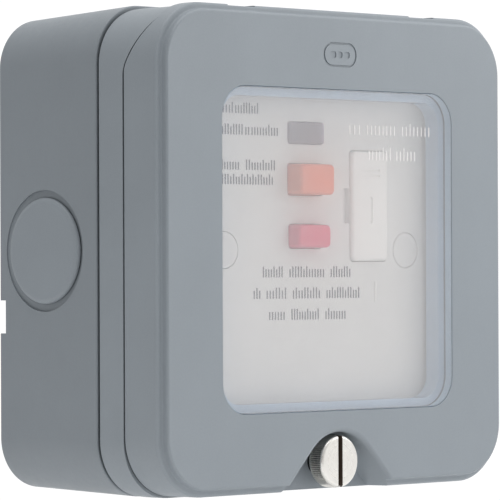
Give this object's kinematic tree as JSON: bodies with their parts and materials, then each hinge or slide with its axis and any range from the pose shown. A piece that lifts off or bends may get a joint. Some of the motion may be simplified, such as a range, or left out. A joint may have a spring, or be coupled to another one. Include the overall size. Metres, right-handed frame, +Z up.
{
  "type": "weatherproof fused connection unit with residual current device",
  "caption": "Square grey weatherproof surface enclosure: hinged windowed lid with thumbscrew over a white residual current device plate with push buttons, flag window and pull-out fuse.",
  "frame": {"origin": "centre of the back box's rear face, which lies on the wall", "axes": "+Z up, +X to the right seen from the front, +Y into the wall, so the front faces -Y"},
  "size_m": [0.114, 0.0583, 0.114],
  "materials": {
    "enclosure_grey": "fine satin moulded plastic",
    "window_clear": "hazy clear polycarbonate",
    "seal_black": "soft black seal rubber",
    "steel": "zinc-plated steel",
    "thumbscrew_nickel": "turned and knurled, nickel-plated",
    "brass": "plain brass",
    "plate_white": "white urea plate",
    "module_cream": "cream moulded housing",
    "lens_smoke": "smoked clear lens",
    "flag_red": "two-colour indicator flag",
    "button_orange": "moulded orange",
    "button_crimson": "moulded crimson",
    "fuse_ceramic": "white ceramic cartridge with metal caps",
    "contact_silver": "silver contact facing",
    "board_green": "green circuit board",
    "toroid_winding": "taped toroid",
    "winding_copper": "enamelled copper winding",
    "mechanism_black": "black mechanism plastic"
  },
  "bodies": {
    "root": {"back_box": "enclosure_grey", "box_gasket": "seal_black", "entry_left_plug": "enclosure_grey", "entry_right_plug": "enclosure_grey", "entry_bottom_plug": "enclosure_grey", "front_frame": "enclosure_grey", "frame_screw_1": "steel", "frame_screw_2": "steel", "frame_screw_3": "steel", "frame_screw_4": "steel", "lid_gasket": "seal_black", "threaded_insert": "brass", "faceplate": "plate_white", "module_housing": "module_cream", "plate_screw_left": "steel", "plate_screw_right": "steel", "screw_cap_left": "plate_white", "screw_cap_right": "plate_white", "indicator_lens": "lens_smoke", "fuse_clip_top": "brass", "fuse_clip_bottom": "brass", "circuit_board": "board_green", "sensing_toroid": "toroid_winding", "trip_coil": "winding_copper", "fixed_contact_line": "brass", "fixed_contact_neutral": "brass", "reset_spring": "steel", "test_spring": "steel", "contact_spring": "steel", "terminal_line_in": "brass", "terminal_neutral_in": "brass", "terminal_line_out": "brass", "terminal_neutral_out": "brass", "terminal_earth": "brass", "terminal_screw_line_in": "steel", "terminal_screw_neutral_in": "steel", "terminal_screw_line_out": "steel", "terminal_screw_neutral_out": "steel", "terminal_screw_earth": "steel"},
    "lid": {"lid": "enclosure_grey", "window": "window_clear", "hinge_pin_left": "steel", "hinge_pin_right": "steel", "thumbscrew_seal": "seal_black"},
    "retaining_washer": {"retaining_washer": "steel"},
    "thumbscrew": {"thumbscrew": "thumbscrew_nickel"},
    "reset_button": {"reset_button": "button_orange"},
    "test_button": {"test_button": "button_crimson"},
    "fuse_carrier": {"fuse_carrier": "plate_white", "fuse": "fuse_ceramic"},
    "contact_carriage": {"contact_carriage": "mechanism_black", "moving_contact_line": "contact_silver", "moving_contact_neutral": "contact_silver"},
    "indicator_flag": {"indicator_flag": "flag_red"},
    "latch_lever": {"latch_lever": "mechanism_black"},
    "trip_plunger": {"trip_plunger": "steel"}
  },
  "joints": [
    {"name": "lid_hinge", "type": "hinge", "parent": "root", "child": "lid", "pos_m": [0, -0.0544, 0.0544], "axis": [-1, 0, 0], "range_deg": [0, 90]},
    {"name": "thumbscrew_lift", "type": "slide", "parent": "lid", "child": "retaining_washer", "axis": [0, -1, 0], "range_m": [0, 0.00211]},
    {"name": "thumbscrew_turn", "type": "hinge", "parent": "retaining_washer", "child": "thumbscrew", "pos_m": [0, -0.05, -0.0498], "axis": [0, -1, 0], "range_deg": [0, 1080]},
    {"name": "reset_press", "type": "slide", "parent": "root", "child": "reset_button", "axis": [0, 1, 0], "range_m": [0, 0.003], "stiffness_N_per_m": 300, "springref_m": -0.002, "deforming": ["reset_spring"]},
    {"name": "test_press", "type": "slide", "parent": "root", "child": "test_button", "axis": [0, 1, 0], "range_m": [0, 0.002], "stiffness_N_per_m": 300, "springref_m": -0.002, "deforming": ["test_spring"]},
    {"name": "fuse_carrier_pull", "type": "slide", "parent": "root", "child": "fuse_carrier", "axis": [0, -1, 0], "range_m": [0, 0.004]},
    {"name": "trip_carriage", "type": "slide", "parent": "root", "child": "contact_carriage", "axis": [0, 0, -1], "range_m": [0, 0.003], "deforming": ["contact_spring"]},
    {"name": "flag_rocker", "type": "hinge", "parent": "root", "child": "indicator_flag", "pos_m": [-0.0135, -0.038, 0.005], "axis": [0, 1, 0], "range_deg": [0, 12.1]},
    {"name": "latch_release", "type": "hinge", "parent": "root", "child": "latch_lever", "pos_m": [0.0085, -0.0312, -0.012], "axis": [0, 1, 0], "range_deg": [0, 15.1]},
    {"name": "trip_plunger_pull", "type": "slide", "parent": "root", "child": "trip_plunger", "axis": [0, 0, -1], "range_m": [0, 0.00151]}
  ],
  "couplings": [
    {"joint": "thumbscrew_lift", "follows": "thumbscrew_turn", "m_per_rad": 0.00011141},
    {"joint": "flag_rocker", "follows": "trip_carriage", "rad_per_m": 69.813},
    {"joint": "latch_release", "follows": "trip_carriage", "rad_per_m": 87.266},
    {"joint": "trip_plunger_pull", "follows": "trip_carriage", "ratio": 0.5}
  ]
}
